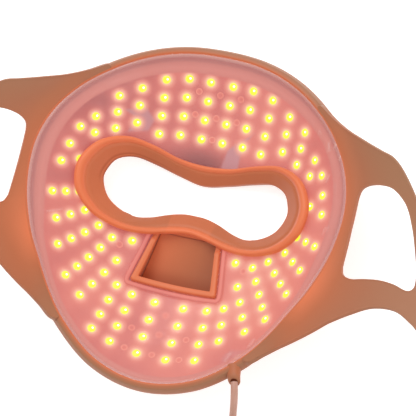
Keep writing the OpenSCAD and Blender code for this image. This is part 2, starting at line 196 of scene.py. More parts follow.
def add_skin(name, grids, material, loop_rows=False, loop_columns=True, ends=False, sharp=35.0):
    """Mesh object through grids of points in millimetres, (copies, rows, columns, 3): each point is joined
    to its neighbours along the row and column. loop_rows and loop_columns close it, and ends puts a
    face on each end."""
    grids = np.asarray(grids, float)
    grids = grids[None] if grids.ndim == 3 else grids
    copies, rows, columns = grids.shape[:3]
    at = np.arange(rows * columns).reshape(rows, columns)
    at = np.vstack([at, at[:1]]) if loop_rows else at
    at = np.hstack([at, at[:, :1]]) if loop_columns else at
    quads = np.stack([at[:-1, :-1], at[:-1, 1:], at[1:, 1:], at[1:, :-1]], -1).reshape(-1, 4)
    first = grids[0].reshape(-1, 3) - grids[0].reshape(-1, 3).mean(0)
    corner = first[quads]
    normal = np.cross(corner[:, 2] - corner[:, 0], corner[:, 3] - corner[:, 1])
    inside_out = (normal * corner.mean(1)).sum() < 0
    quads = quads[:, ::-1] if inside_out else quads
    shift = (np.arange(copies) * rows * columns)[:, None, None]
    faces = (quads[None] + shift).reshape(-1, 4).tolist()
    if ends:
        rim = np.arange(columns)
        last = rim + (rows - 1) * columns
        pair = [rim, last[::-1]] if inside_out else [rim[::-1], last]
        faces += [(end + k * rows * columns).tolist() for k in range(copies) for end in pair]
    mesh = bpy.data.meshes.new(name)
    mesh.from_pydata((grids.reshape(-1, 3) * 0.001).tolist(), [], faces)
    mesh.polygons.foreach_set("use_smooth", np.ones(len(faces), bool))
    mesh.set_sharp_from_angle(angle=math.radians(sharp))
    mesh.materials.append(material)
    made = bpy.data.objects.new(name, mesh)
    bpy.context.collection.objects.link(made)
    return made


def carry(line, profile, level):
    """Carries a closed profile along a line: each of its points lies profile[0] along the side direction and
    profile[1] along the upright one, both square to the line, where level is never along the line."""
    ahead = slopes(line)
    side = np.cross(level, ahead)
    side /= np.linalg.norm(side, axis=1, keepdims=True)
    upright = np.cross(ahead, side)
    return line[:, None] + profile[..., 0:1] * side[:, None] + profile[..., 1:2] * upright[:, None]


def ring_of(count, radius=1.0):
    """Points of a circle, the angle growing evenly."""
    angle = 2 * math.pi * np.arange(count) / count
    return radius * np.stack([np.cos(angle), np.sin(angle)], -1)


# Soft PVC: matt, with faint blotches from the extruder
pvc, tree, spot = start_material("extruded_soft_pvc")
blotch = put(tree, "ShaderNodeTexNoise", {"Vector": spot, "Scale": 90.0, "Detail": 3.0})
shade = put(tree, "ShaderNodeValToRGB", {"Fac": blotch.outputs["Fac"]},
            stops=[(0.3, rgb("#b98a78")), (0.7, rgb("#c39382"))])
grain = put(tree, "ShaderNodeTexNoise", {"Vector": spot, "Scale": 2200.0, "Detail": 2.0})
bump = put(tree, "ShaderNodeBump", {"Height": grain.outputs["Fac"], "Strength": 0.12, "Distance": 0.0001})
end_material(tree, {"Base Color": shade.outputs[0], "Roughness": 0.42, "Normal": bump.outputs[0],
                    "Subsurface Weight": 0.08, "Subsurface Radius": (0.004, 0.002, 0.001)})

lead_line = np.vstack([smooth_line(route_out, 3), coil_line(5.25, 40), smooth_line(route_in, 3)])
run = np.concatenate([[0], np.cumsum(np.linalg.norm(np.diff(lead_line, axis=0), axis=1))])
lying = ease(run, 78, 96)[:, None]
lead_level = (1 - lying) * [1.0, 0, 0] + lying * [0, 0, 1.0]
lead_grid = carry(lead_line, ring_of(14, lead_d / 2)[None], lead_level)
lead = add_skin("lead_cable", lead_grid, pvc, ends=True)
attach(lead, "mask")
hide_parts("lead", "lead_coil")

# ---------------------------------------------------------------------------
# Tie: a hook-and-loop band of woven nylon round all six strands of the coil. It is wrapped
# once and its end lies on itself.

tie_t = 0.7
tie_start = math.radians(38)
tie_angle = math.radians(24)
coil_bore = coil_r - 1.5 * lead_d
coil_rim = coil_r + 1.5 * lead_d
coil_bottom = layer_z[0] - lead_d / 2
coil_top = layer_z[1] + lead_d / 2
tie_gap = 0.05

# Woven nylon loops: ribs about half a millimetre apart, dull and dark
nylon, tree, spot = start_material("woven_nylon_loop_tape")
weave = put(tree, "ShaderNodeTexVoronoi", {"Vector": spot, "Scale": 1800.0})
shade = put(tree, "ShaderNodeValToRGB", {"Fac": weave.outputs["Distance"]},
            stops=[(0.1, rgb("#5a5350")), (0.7, rgb("#39332f"))])
bump = put(tree, "ShaderNodeBump", {"Height": weave.outputs["Distance"], "Strength": 0.5, "Distance": 0.0003})
end_material(tree, {"Base Color": shade.outputs[0], "Roughness": 0.85, "Normal": bump.outputs[0],
                    "Sheen Weight": 0.3, "Sheen Roughness": 0.6})


def band(start, sweep, low, high, inner, outer, steps=20):
    """A band round the coil: a loop with rounded corners in the plane of radius and height, swept by an
    angle, from low to high and inner to outer."""
    r = 1.6
    quarter = np.linspace(0, math.pi / 2, 5)
    centres = [(outer - r, high - r), (inner + r, high - r), (inner + r, low + r), (outer - r, low + r)]
    loop = np.concatenate([np.stack([c[0] + r * np.cos(quarter + k * math.pi / 2),
                                     c[1] + r * np.sin(quarter + k * math.pi / 2)], -1)
                           for k, c in enumerate(centres)])
    angle = start + sweep * np.linspace(0, 1, steps)[:, None]
    return np.stack([coil_at[0] + loop[:, 0] * np.cos(angle), coil_at[1] + loop[:, 0] * np.sin(angle),
                     np.broadcast_to(loop[:, 1], (steps, len(loop)))], -1)


inside, outside = (band(tie_start, tie_angle, coil_bottom - off, coil_top + off, coil_bore - off,
                        coil_rim + off) for off in (tie_gap, tie_gap + tie_t))
tie = add_skin("cord_tie_band", np.concatenate([outside, inside[::-1]]), nylon, loop_rows=True)
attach(tie, "mask")
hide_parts("cord_tie")

# ---------------------------------------------------------------------------
# Plug: a barrel plug with a moulded grip that tapers into the strain relief, a nickel-plated
# sleeve and an insulated socket inside it.

plug_at = np.array([124.0, -188.0, 5.0])
housing_l = 34.0
sleeve_d = 5.5
sleeve_l = 9.5


def turned(profile, along=None):
    """Turns a profile of [place along the plug, radius] about the plug's axis, which runs along +X."""
    profile = np.asarray(profile, float)
    circle = ring_of(48)
    return np.stack([
        plug_at[0] + np.broadcast_to(profile[:, :1], (len(profile), 48)),
        plug_at[1] + profile[:, 1:] * circle[:, 0],
        plug_at[2] + profile[:, 1:] * circle[:, 1]], -1)


# Strain relief with slots cut round it, then a grip with shallow finger ridges
relief_slots = 4
grip_from = 16
grip_l = 15
grip_r = 4.9
ridges = 7
relief = [[0, 2.25], [0, 2.9]]
for k in range(relief_slots):
    start, wider = 2.6 * k, 0.2 * k
    relief += [[start + 1.5, 3.0 + wider], [start + 1.8, 2.6 + wider],
               [start + 2.7, 2.6 + wider], [start + 3.0, 3.05 + wider]]
grip_x = np.linspace(grip_from, housing_l - 3, 61)
wave = np.sin((grip_x - grip_from) / grip_l * ridges * math.pi)
grip = np.stack([grip_x, grip_r - 0.16 * wave ** 2], -1)
housing_profile = np.concatenate([relief, [[12.4, 3.8], [14, 4.4], [15.2, 4.85]], grip,
                                  [[housing_l - 1.2, grip_r], [housing_l - 0.4, 4.7], [housing_l, 4.3],
                                   [housing_l, 2.2]]])

# The same PVC, moulded: a little paler, with the fine grain of the tool
moulded_pvc, tree, spot = start_material("moulded_soft_pvc")
blotch = put(tree, "ShaderNodeTexNoise", {"Vector": spot, "Scale": 120.0, "Detail": 3.0})
shade = put(tree, "ShaderNodeValToRGB", {"Fac": blotch.outputs["Fac"]},
            stops=[(0.3, rgb("#bd9080")), (0.7, rgb("#c79a8a"))])
grain = put(tree, "ShaderNodeTexNoise", {"Vector": spot, "Scale": 1600.0, "Detail": 2.0})
bump = put(tree, "ShaderNodeBump", {"Height": grain.outputs["Fac"], "Strength": 0.2, "Distance": 0.0001})
end_material(tree, {"Base Color": shade.outputs[0], "Roughness": 0.5, "Normal": bump.outputs[0]})

# Nickel plate over brass: bright, with fine turning marks round it
nickel, tree, spot = start_material("nickel_plated_brass")
stretch = put(tree, "ShaderNodeMapping", {"Vector": spot, "Scale": (9000.0, 200.0, 200.0)})
marks = put(tree, "ShaderNodeTexNoise", {"Vector": stretch.outputs[0], "Scale": 1.0, "Detail": 2.0})
sheen = put(tree, "ShaderNodeMapRange", {"Value": marks.outputs["Fac"], "To Min": 0.16, "To Max": 0.3})
end_material(tree, {"Base Color": rgb("#d6d2c6"), "Metallic": 1.0, "Roughness": sheen.outputs[0]})

# Black nylon with a faint grain
black_nylon, tree, spot = start_material("moulded_black_nylon")
grain = put(tree, "ShaderNodeTexNoise", {"Vector": spot, "Scale": 1500.0, "Detail": 2.0})
shade = put(tree, "ShaderNodeValToRGB", {"Fac": grain.outputs["Fac"]},
            stops=[(0.3, rgb("#232325")), (0.7, rgb("#2d2d30"))])
end_material(tree, {"Base Color": shade.outputs[0], "Roughness": 0.45})

end = housing_l + sleeve_l
sleeve_profile = [[housing_l, 2.22], [housing_l, sleeve_d / 2], [end - 0.4, sleeve_d / 2],
                  [end - 0.1, sleeve_d / 2 - 0.12], [end, sleeve_d / 2 - 0.3], [end, 2.3],
                  [end - 0.15, 2.22]]
contact_profile = [[housing_l, 0.05], [housing_l, 2.19], [end - 0.6, 2.19], [end - 0.4, 2.0],
                   [end - 0.4, 1.25], [end - 0.7, 1.05], [housing_l + 1.2, 1.05], [housing_l + 1.1, 0.05]]
plug_pieces = [
    (add_skin(name, turned(profile), material, loop_rows=True), node, slot)
    for name, profile, material, node, slot in (
        ("plug_grip", housing_profile, moulded_pvc, "plug_housing", "lead_jacket"),
        ("plug_barrel", sleeve_profile, nickel, "plug_sleeve", "nickel_plate"),
        ("plug_socket", contact_profile, black_nylon, "plug_contact", "black_nylon"))]
for piece, node, slot in plug_pieces:
    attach(piece, "mask")
    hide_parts(node)

# ---------------------------------------------------------------------------
# Tray: a shell of tan liquid silicone rubber, moulded in one piece, that holds the light
# circuit. Its edge has a thin flat top round the pad and a side that slopes away from it.

r_across = 121.5
r_down = 222.0
flare_start = 85.0
r_flare = 250.0
rest_tilt = math.radians(-2.75)
rest_lift = 4.21
rest_back = 10.4
floor_lo = -4.0
floor_hi = -1.6
pad_lo = 1.2
pad_hi = 3.2


def on_sheet(uv, h):
    """Points on the mask, [u, v] along its curved sheet and h above it, in millimetres: an arc across the
    face that flares out past flare_start, turned about a level axis over the face, tilted as the mask
    rests."""
    u, v = uv[..., 0], uv[..., 1]
    out = np.abs(u)
    arc = np.minimum(out, flare_start) / r_across
    past = np.maximum(out - flare_start, 0) / r_flare
    tilt = arc - past
    first = flare_start / r_across
    far = out > flare_start
    x = r_across * np.sin(arc) + np.where(far, r_flare * (np.sin(first) - np.sin(tilt)), 0) - h * np.sin(tilt)
    z = r_across * (1 - np.cos(arc)) + np.where(far, r_flare * (np.cos(tilt) - np.cos(first)), 0)
    z = z + h * np.cos(tilt)
    y0 = (r_down - z) * np.sin(v / r_down)
    z0 = r_down - (r_down - z) * np.cos(v / r_down)
    y = y0 * math.cos(rest_tilt) - z0 * math.sin(rest_tilt) + rest_back
    z = y0 * math.sin(rest_tilt) + z0 * math.cos(rest_tilt) + rest_lift
    return np.stack([np.where(u < 0, -x, x), y, z], -1)


def whole(half):
    """Closed outline from its right half, top centre to bottom centre."""
    half = np.array(half, float)
    return np.concatenate([half, half[-2:0:-1] * [-1, 1]])


def outward(line):
    """Unit normals of a closed clockwise outline, pointing out of it."""
    ahead = slopes(line, closed=True)
    return np.stack([-ahead[:, 1], ahead[:, 0]], -1)


def gap_to(line, uv):
    """Distance from each point to the nearest point of a dense line."""
    flat = uv.reshape(-1, 2)
    near = np.concatenate([np.sqrt(((part[:, None] - line[None]) ** 2).sum(-1).min(1))
                           for part in np.array_split(flat, max(1, len(flat) // 4000))])
    return near.reshape(uv.shape[:-1])


def paint(piece, name, values):
    """A number for each vertex, kept with the mesh for its material."""
    held = piece.data.attributes.new(name, "FLOAT", "POINT")
    held.data.foreach_set("value", np.ascontiguousarray(values, np.float32).ravel())


pad_edge = whole([
    [0, 98.5], [26, 97], [50, 91], [72, 80.5], [92, 65.5], [107, 43], [114, 14],
    [111.5, -20], [102, -49], [90, -69], [76, -87], [59, -103], [32, -119], [0, -125]])
cover_window = whole([
    [0, 15], [16, 18], [32, 22], [46, 24], [57, 20], [62, 12], [63, 4],
    [58, -6], [49, -12], [38, -14.5], [25.3, -23.3], [27.6, -41], [30.4, -58.2], [0, -58.4]])

# Liquid silicone rubber, moulded in a polished tool and dusted: satin, a little see-through at
# thin edges, tan in white light. The orange where the lights shine through it is painted light: a
# level kept with each vertex sets both the colour and an emission glow. A second level darkens it
# towards dark brown, for dark seams and for painted shadow
silicone, tree, spot = start_material("tan_liquid_silicone_rubber")
painted_light_node = put(tree, "ShaderNodeAttribute", attribute_name="painted_light")
cloud = put(tree, "ShaderNodeTexNoise", {"Vector": spot, "Scale": 28.0, "Detail": 4.0})
uneven = put(tree, "ShaderNodeMath", {0: cloud.outputs["Fac"], 1: 0.14, 2: -0.07}, operation="MULTIPLY_ADD")
lit = put(tree, "ShaderNodeMath", {0: painted_light_node.outputs["Fac"], 1: uneven.outputs[0]}, operation="ADD",
          use_clamp=True)
shade = put(tree, "ShaderNodeValToRGB", {"Fac": lit.outputs[0]},
            stops=[(0.0, rgb("#9c6e4f")), (1.0, rgb("#d0744a")), (0.25, rgb("#a26545")),
                   (0.5, rgb("#af643f"))])
# Dark seam lines and painted shadow darken the colour towards dark brown
seam_and_shadow = put(tree, "ShaderNodeAttribute", attribute_name="seam_and_shadow")
seams_and_shadow_mixed = put(tree, "ShaderNodeMix", {"Factor": seam_and_shadow.outputs["Fac"], "A": shade.outputs[0],
                                      "B": rgb("#8a3a12")}, data_type="RGBA")
# Painted glow: emission from the same level as the orange colour
glow = put(tree, "ShaderNodeValToRGB", {"Fac": lit.outputs[0]},
           stops=[(0.0, rgb("#000000")), (1.0, rgb("#681c08")), (0.5, rgb("#300a03"))])
grain = put(tree, "ShaderNodeTexNoise", {"Vector": spot, "Scale": 1400.0, "Detail": 3.0})
rough = put(tree, "ShaderNodeMapRange", {"Value": cloud.outputs["Fac"], "To Min": 0.42, "To Max": 0.56})
bump = put(tree, "ShaderNodeBump", {"Height": grain.outputs["Fac"], "Strength": 0.1, "Distance": 0.0001})
end_material(tree, {"Base Color": seams_and_shadow_mixed.outputs["Result"], "Roughness": rough.outputs[0],
                    "Normal": bump.outputs[0], "Emission Color": glow.outputs[0],
                    "Emission Strength": 1.0, "IOR": 1.41, "Sheen Weight": 0.12, "Sheen Roughness": 0.5})

fine = 14
edge_line = smooth_line(pad_edge, fine, closed=True)
edge_out = outward(edge_line)
window_line = smooth_line(cover_window, fine, closed=True)

# [distance outside the pad's edge, height] round the tray's wall, from the underside to the lip
wall = np.array([[-3, -4], [1.2, -4], [2.2, -3.75], [3.1, -3.1], [3.7, -2.1], [4, -0.9], [4, 2.0],
                 [3.85, 2.6], [3.3, 3.1], [2.5, 3.7], [2.0, 4.05], [1.55, 4.2], [1.1, 4.1], [0.7, 3.85],
                 [0.3, 3.75], [0.15, 3.6], [0.15, -1.6], [-3, -1.6]])
across = np.linspace(0, 1, 22)[1:-1]


def floor_band(height, places):
    """The tray's floor at one height, by straight lines from the opening to just inside the wall."""
    inner = window_line[:, None]
    outer = (edge_line - 3 * edge_out)[:, None]
    uv = inner + (outer - inner) * places[None, :, None]
    return uv, np.full(uv.shape[:2], height)


low_uv, low_h = floor_band(floor_lo, np.concatenate([[0], across]))
high_uv, high_h = floor_band(floor_hi, np.concatenate([[0], across])[::-1])
wall_uv = edge_line[:, None] + edge_out[:, None] * wall[None, :, 0:1]
wall_h = np.broadcast_to(wall[:, 1], wall_uv.shape[:2])
tray_uv = np.concatenate([low_uv, wall_uv, high_uv], 1)
tray_h = np.concatenate([low_h, wall_h, high_h], 1)
tray = add_skin("silicone_tray", on_sheet(tray_uv, tray_h), silicone, loop_rows=True)
# Painted glow: the rim's top is painted as lit through by the pad, and its side fades to plain tan
from_pad = gap_to(edge_line, tray_uv)
paint(tray, "painted_light", np.where(tray_h > 0, 0.95 * np.exp(-((from_pad / 2.6) ** 2)), 0.25))
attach(tray, "mask")
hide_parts("outer_cover")

# ---------------------------------------------------------------------------
# Wings: one flat sheet of the same silicone on each side, joined to the tray's rim, with a
# window that the head strap goes through and a low bead along its edges.

wing_lo = 0.6
wing_hi = 2.4
bend_u = 121.5
rim_seat = 1.9
window_edge = [
    [121.2, 24], [122.6, 30.5], [128, 35], [137, 37], [146, 35], [156, 24], [163, 6], [168, -13],
    [172, -32], [173, -46], [169, -50], [160, -45], [150, -42], [140, -41.5], [130, -41.7],
    [123.4, -38], [121.2, -31]]
free_edge = [
    [bend_u, 67.3], [131, 64.5], [141, 61], [151, 50], [163, 29], [172, 7], [179, -15],
    [185, -40], [189, -64], [190, -84], [184, -91], [177, -82], [165, -70], [150, -67.5],
    [136, -73], [bend_u, -80.3]]
upper_back = [[73.6, 82.4], [76, 84], [86, 79.3], [95, 75.5], [104, 72.3], [113, 69.8], [bend_u, 67.3]]
lower_back = [[bend_u, -80.3], [113, -86.2], [104, -91], [95, -94.6], [87, -97], [77, -100.6],
              [69, -104.6], [63.4, -104.2]]


def spaced(line, count):
    """Points at even distances along a line."""
    line = np.asarray(line, float)
    run = np.concatenate([[0], np.cumsum(np.linalg.norm(np.diff(line, axis=0), axis=1))])
    at = np.linspace(0, run[-1], count)
    return np.stack([np.interp(at, run, line[:, 0]), np.interp(at, run, line[:, 1])], -1)


def closed_path(parts):
    """A closed line from parts of [line, point count] that follow one another."""
    return np.concatenate([spaced(line, count)[:-1] for line, count in parts])


# How many points each part of the wing's outline has: upper back, free edge, lower back, seat
part_counts = [40, 200, 46, 90]
part_ends = np.cumsum(np.array(part_counts) - 1)
seat_line = (edge_line + rim_seat * edge_out)[3 * fine:round(10.9 * fine)][::-1]
loop_out = closed_path(zip([smooth_line(upper_back, 8), smooth_line(free_edge, 8),
                            smooth_line(lower_back, 8), seat_line], part_counts))
loop_in = closed_path(zip([[[121.2, 9], [121.2, 24]], smooth_line(window_edge, 8),
                           [[121.2, -31], [121.2, -14]], [[121.2, -14], [121.2, 9]]], part_counts))
# 1 along the free edges and 0 along the tray
along = np.arange(len(loop_out))
free = np.where(along <= part_ends[2], 1.0, 0.0)
width = np.linalg.norm(loop_out - loop_in, axis=1)[:, None]
# [distance in from an edge, height there], a low bead with a rounded outer corner
bead = np.array([[0, 1.15], [0.12, 1.9], [0.45, 2.45], [0.9, 2.55], [1.5, 2.42]])
near = bead[:, 0] / width
middle = np.linspace(0, 1, 22)[1:-1]
share_in = np.concatenate([near, near[:, -1:] + (1 - 2 * near[:, -1:]) * middle, 1 - near[:, ::-1]], 1)
outer_bead = wing_hi + (bead[::-1, 1] - wing_hi) * free[:, None]
top = np.concatenate([np.broadcast_to(bead[:, 1], near.shape), np.full((len(near), len(middle)), wing_hi),
                      outer_bead], 1)
under = wing_lo + 0.2 * (wing_hi - np.minimum(top, wing_hi))
share = np.concatenate([share_in, share_in[:, ::-1]], 1)
# Rows to the tray are parabolas that bend round the convex pad; those to the free edges are straight
bent = np.interp(along, [0, *part_ends[:3]], [1, 0, 0, 1])[:, None]
pull = (loop_in + loop_out) / 2
control = np.stack([np.full(len(loop_out), 118.5), 0.77 * loop_out[:, 1]], -1)
pull = pull + (1 - (1 - bent) ** 2) * (control - pull)
share = share[..., None]
wing_uv = ((1 - share) ** 2 * loop_in[:, None] + 2 * share * (1 - share) * pull[:, None]
           + share**2 * loop_out[:, None])
from_pad = gap_to(edge_line, wing_uv)
rim_join_h = 4.12
# The sheet rises to the rim where it meets the tray
past_seat = np.maximum(from_pad[:, :share_in.shape[1]] - rim_seat, 0)
rise = (rim_join_h - wing_hi) * np.exp(-((past_seat / 7) ** 2))
wing_h = np.concatenate([top + rise, under[:, ::-1]], 1)
# Painted glow from the lights on the sheet near the pad, stronger on the left, and not on its narrow ends on
# the rim's side
tongue = 0.3 + 0.7 * ease(wing_uv[..., 0], 72, 104)
for side, name, base, gain, reach in ((-1, "left_wing", 0.17, 0.4, 24), (1, "right_wing", 0.05, 0.58, 14)):
    wing = add_skin(f"{name}_sheet", on_sheet(wing_uv * [side, 1], wing_h), silicone, loop_rows=True)
    fall = np.maximum(from_pad - 2, 0) / (reach + 18 * ease(-wing_uv[..., 1], 10, 60))
    corner = 0.34 * np.exp(-(((wing_uv[..., 1] + 55) / 28) ** 2) - np.maximum(from_pad - 2, 0) / 11)
    low_part = 1 - 0.9 * ease(wing_uv[..., 1], 15, 60)
    paint(wing, "painted_light", tongue * (base * low_part + gain * np.exp(-fall) + corner))
    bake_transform(wing)
    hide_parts(name, f"{name}_root")

# ---------------------------------------------------------------------------
# Eye ring: a soft gasket of the same silicone round the eye opening. It slopes up from the
# opening, dips in a shallow valley and ends in a rounded crest that seals on the face.

eye_inner = whole([
    [0, 15], [16, 18], [32, 22], [46, 24], [57, 20], [62, 12], [63, 4],
    [58, -6], [49, -12], [38, -14.5], [28, -12.5], [17, -8], [8, -5.5], [0, -5]])
eye_outer = whole([
    [0, 27.5], [18, 29], [36, 34], [54, 36.5], [70, 31.5], [80, 21.5], [85, 8],
    [82, -8], [70, -20], [56, -25], [42, -26.5], [28, -25], [13, -21], [0, -19]])
# [place from the opening to the outer foot, height]
ring_section = smooth_line([
    [0.03, 0.9], [0.1, 1.55], [0.22, 2.65], [0.36, 3.9], [0.5, 5.1], [0.58, 5.55], [0.64, 5.62],
    [0.69, 5.95], [0.75, 6.75], [0.82, 7.4], [0.885, 7.6], [0.945, 7.2], [0.985, 6.3], [1, 5.2]], 3)
ring_section = np.concatenate([[[0, floor_hi + 0.15], [0, 0.3]], ring_section,
                               [[1, 4.2], [0.985, 3.55], [0.42, 3.6], [0.36, floor_hi + 0.15]]])
inner_line = smooth_line(eye_inner, fine, closed=True)
outer_line = smooth_line(eye_outer, fine, closed=True)
ring_uv = inner_line[:, None] + (outer_line - inner_line)[:, None] * ring_section[None, :, 0:1]
ring_h = np.broadcast_to(ring_section[:, 1], ring_uv.shape[:2])
eye_ring = add_skin("eye_gasket", on_sheet(ring_uv, ring_h), silicone, loop_rows=True)
place = np.broadcast_to(ring_section[:, 0], ring_h.shape)
# Painted light: the ring's glow rises towards its crest, on the left side, and on a strip over the bridge
paint(eye_ring, "painted_light", 0.55 + 0.4 * ease(place, 0.6, 0.8) + 0.15 * ease(-ring_uv[..., 0], 30, 60)
      + 0.1 * ease(15.5 - np.abs(ring_uv[..., 0]), 0, 1) * (ring_uv[..., 1] < 0))
left_top = ease(-ring_uv[..., 0], 5, 40) * ease(ring_uv[..., 1], -2, 12)
creases = np.exp(-((place / 0.045) ** 2)) + 0.7 * np.exp(-(((place - 0.15) / 0.03) ** 2))
paint(eye_ring, "seam_and_shadow", left_top * creases)
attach(eye_ring, "mask")
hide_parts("eye_ring")

# ---------------------------------------------------------------------------
# Nose pocket: four silicone walls with flat tops, deeper towards the nostrils, and a thin flap
# across the bottom that gives where the nose presses it.

nose_outer = np.array([[21.8, -16.5], [29.3, -57.2], [-29.3, -57.2], [-21.8, -16.5]])
nose_inner = np.array([[18.9, -19.8], [24.5, -53.6], [-24.5, -53.6], [-18.9, -19.8]])
nose_top_h = 4.8
nose_depth = 16.0


def nose_floor(uv):
    """Height of the pocket's front edge: level from side to side, and sloping evenly deeper lower down."""
    out = np.minimum(np.abs(uv[..., 0]), flare_start)
    slope = (nose_depth - 5) / 34.5
    return -3.5 - slope * (-23 - uv[..., 1]) - r_across * (1 - np.cos(out / r_across))


def straight_sides(corners, count, round_off):
    """A closed run of points along straight sides, cut off by a short straight line at each corner."""
    ahead = np.roll(corners, -1, 0) - corners
    reach = round_off / np.linalg.norm(ahead, axis=1)[:, None]
    place = np.linspace(0, 1, count)[None, :, None]
    start = corners + ahead * reach
    stop = corners + ahead * (1 - reach)
    return (start[:, None] + (stop - start)[:, None] * place).reshape(-1, 2)


def nose_top(uv):
    """Height of the walls' tops: they dip at the bridge, where they pass under the eye ring."""
    return np.minimum(nose_top_h, 3.3 + 1.2 * np.maximum(0, -25.6 - uv[..., 1]))


out_line = straight_sides(nose_outer, 24, 1.4)
in_line = straight_sides(nose_inner, 24, 0.4)
# [share of the way from the outside to the inside, height over the top or, where 0, over the floor],
# with a thin ledge under the flap's edges
nose_section = np.array([[0, -0.5, 0], [0, -1.6, 1], [0.02, -0.7, 1], [0.08, -0.25, 1], [0.2, 0, 1],
                         [0.5, 0.05, 1], [0.84, 0, 1], [0.94, -0.15, 1], [1, -0.5, 1], [1, -0.25, 0],
                         [1.5, -0.25, 0], [1.5, -0.5, 0]])
nose_uv = out_line[:, None] + (in_line - out_line)[:, None] * nose_section[None, :, 0:1]
nose_h = np.where(nose_section[:, 2] > 0, nose_top(nose_uv), nose_floor(nose_uv)) + nose_section[:, 1]
nose_frame = add_skin("nose_walls", on_sheet(nose_uv, nose_h), silicone, loop_rows=True)
# Painted shade: the walls' glow fades towards the bottom of the pocket
paint(nose_frame, "painted_light", 0.35 + 0.5 * ease(nose_h, -6, 4))
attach(nose_frame, "mask")
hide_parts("nose_frame")

breath_gap = 4.1
flap_t = 1.8
flap_clear = 0.6
edge_thinned = 0.9
flap_v = np.linspace(nose_inner[0, 1] - flap_clear, nose_inner[1, 1] + breath_gap, 24)[:, None]
flap_half = np.interp(-flap_v, -nose_inner[:2, 1], nose_inner[:2, 0]) - flap_clear
flap_share = np.linspace(-1, 1, 30)[None]
flap_uv = np.stack([flap_half * flap_share, np.broadcast_to(flap_v, (24, 30))], -1)
flap_low = nose_floor(flap_uv) + 2
# The underside is thinner at the lower part of both edges, to clear the ledge when the flap bends
flap_under = flap_low + edge_thinned * ease(np.abs(flap_share), 0.8, 0.92) * ease(-flap_v, 30, 42)
flap_grid = np.concatenate([on_sheet(flap_uv, flap_low + flap_t), on_sheet(flap_uv, flap_under)[:, ::-1]], 1)
flap = add_skin("nose_flap_sheet", flap_grid, silicone, ends=True)
# Painted light and shadow: the flap is lighter on its left side and darker towards its lower end, where the
# bottom wall shades it
flap_painted_light = 0.56 - 0.1 * ease(-flap_v, 30, 50) - 0.26 * flap_share
flap_painted_shadow = np.broadcast_to(0.4 * ease(-flap_v, 40, 49), flap_painted_light.shape)
paint(flap, "seam_and_shadow", np.concatenate([flap_painted_shadow, flap_painted_shadow[:, ::-1]], 1))
paint(flap, "painted_light", np.concatenate([flap_painted_light, flap_painted_light[:, ::-1]], 1))
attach(flap, "nose_flap")
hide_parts("nose_flap")

# ---------------------------------------------------------------------------
# Boss: a short silicone sleeve on the tray's side wall that the lead comes out of. Its end is
# rounded and it flares where it joins the wall.

boss_at = np.array([57.0, -109.2])
boss_turn = math.radians(12)
boss_lean = math.radians(20)


def frames_at(uv, h):
    """Places on the sheet with their directions across, up and out of it, from small steps along it."""
    step = 0.01
    at = on_sheet(uv, h)
    across_dir = on_sheet(uv + [step, 0], h) - at
    up_dir = on_sheet(uv + [0, step], h) - at
    across_dir /= np.linalg.norm(across_dir, axis=-1, keepdims=True)
    up_dir /= np.linalg.norm(up_dir, axis=-1, keepdims=True)
    return at, across_dir, up_dir, np.cross(across_dir, up_dir)


def stamp(local, uv, h):
    """Copies of a grid of local points [across, up, out], one at each place on the sheet."""
    at, across_dir, up_dir, out_dir = (a[:, None, None] for a in frames_at(np.atleast_2d(uv), h))
    return at + local[..., 0:1] * across_dir + local[..., 1:2] * up_dir + local[..., 2:3] * out_dir


boss_profile = np.array([[-1.5, 4.7], [0, 4.45], [1.0, 4.25], [2.2, 4.1], [3.5, 4.0], [5.2, 3.95],
                         [5.9, 3.75], [6.35, 3.35], [6.5, 2.9], [6.4, 2.4], [6.0, 2.25], [-1.5, 2.25]])
circle = ring_of(36)
length = boss_profile[:, :1]
local_x = boss_profile[:, 1:] * circle[:, 0]
local_z = boss_profile[:, 1:] * circle[:, 1]
# The sleeve points down the sheet, turned by boss_turn across it and leaning back by boss_lean
down = -length * math.cos(boss_lean) + local_z * math.sin(boss_lean)
rise = local_z * math.cos(boss_lean) - length * math.sin(boss_lean)
boss_local = np.stack([local_x * math.cos(boss_turn) - down * math.sin(boss_turn),
                       local_x * math.sin(boss_turn) + down * math.cos(boss_turn), rise], -1)
boss = add_skin("lead_sleeve", stamp(boss_local, boss_at, 0.0), silicone, loop_rows=True)
# Painted glow, fading along the sleeve away from the tray's wall
paint(boss, "painted_light", np.broadcast_to(0.45 - 0.2 * ease(length, 3, 6.5), local_x.shape))
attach(boss, "mask")
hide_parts("lead_boss")

# ---------------------------------------------------------------------------
# Light circuit: a white reflector film and an amber polyimide circuit under the pad, with the
# lights, their resistors and the terminal that the lead's wires are soldered to.

# Finishes with a faint mottle: smooth white polyester film, black epoxy with a glassy top, satin
# white nylon, and glossy red wire insulation: [finish, node, noise scale, detail, colours, roughness]
mottled = [
    ("white_polyester_film", "reflector_sheet", 60.0, 3.0, "#e9e2dc", "#f2ece8", 0.35),
    ("black_epoxy", "strip_resistors", 900.0, 2.0, "#2c2c2e", "#3d3d40", 0.25),
    ("moulded_white_nylon", "lead_terminal", 700.0, 2.0, "#efe9dc", "#f7f3ea", 0.4),
    ("red_wire_insulation", "wire_tails", 500.0, 2.0, "#85342a", "#984438", 0.35)]
coats = []
for finish, node, scale, detail, dark, pale, roughness in mottled:
    material, tree, spot = start_material(finish)
    mottle = put(tree, "ShaderNodeTexNoise", {"Vector": spot, "Scale": scale, "Detail": detail})
    shade = put(tree, "ShaderNodeValToRGB", {"Fac": mottle.outputs["Fac"]},
                stops=[(0.3, rgb(dark)), (0.7, rgb(pale))])
    end_material(tree, {"Base Color": shade.outputs[0], "Roughness": roughness})
    coats.append((node, material))

